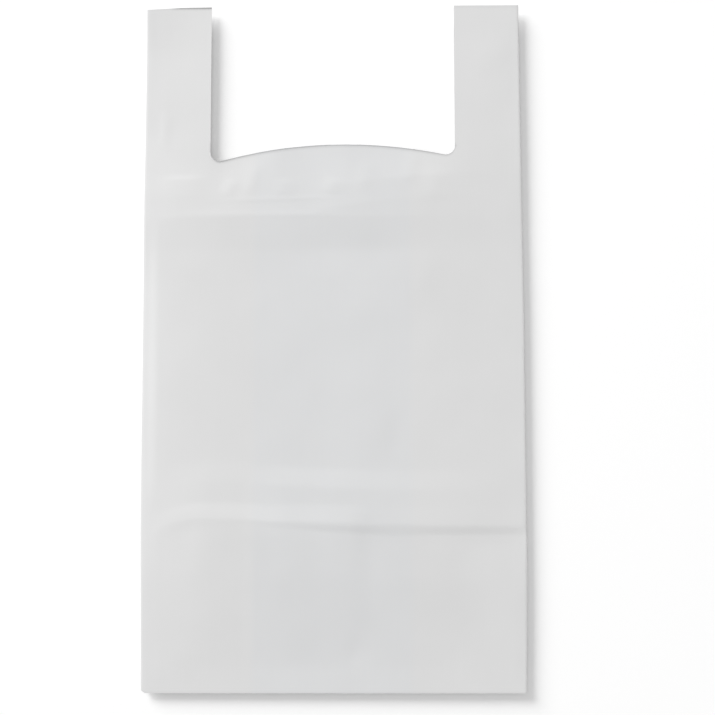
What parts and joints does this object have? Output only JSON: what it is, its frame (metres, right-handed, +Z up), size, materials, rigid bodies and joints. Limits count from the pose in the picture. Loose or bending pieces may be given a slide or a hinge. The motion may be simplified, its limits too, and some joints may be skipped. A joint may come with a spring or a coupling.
{
  "type": "t-shirt bag",
  "caption": "Flat white plastic carrier bag with a loop handle on each side of an arched mouth, sides folded in as gussets and a heat-sealed bottom edge.",
  "frame": {"origin": "under the middle of the bag, on the surface it lies on: the bottom centre of its bounding box", "axes": "+X runs across the bag, +Y along it from the sealed bottom to the handles, +Z up out of the front panel"},
  "size_m": [0.305, 0.559, 0.0102],
  "materials": {
    "film": "satin white polyethylene film"
  },
  "bodies": {
    "root": {"bag": "film"}
  },
  "joints": []
}
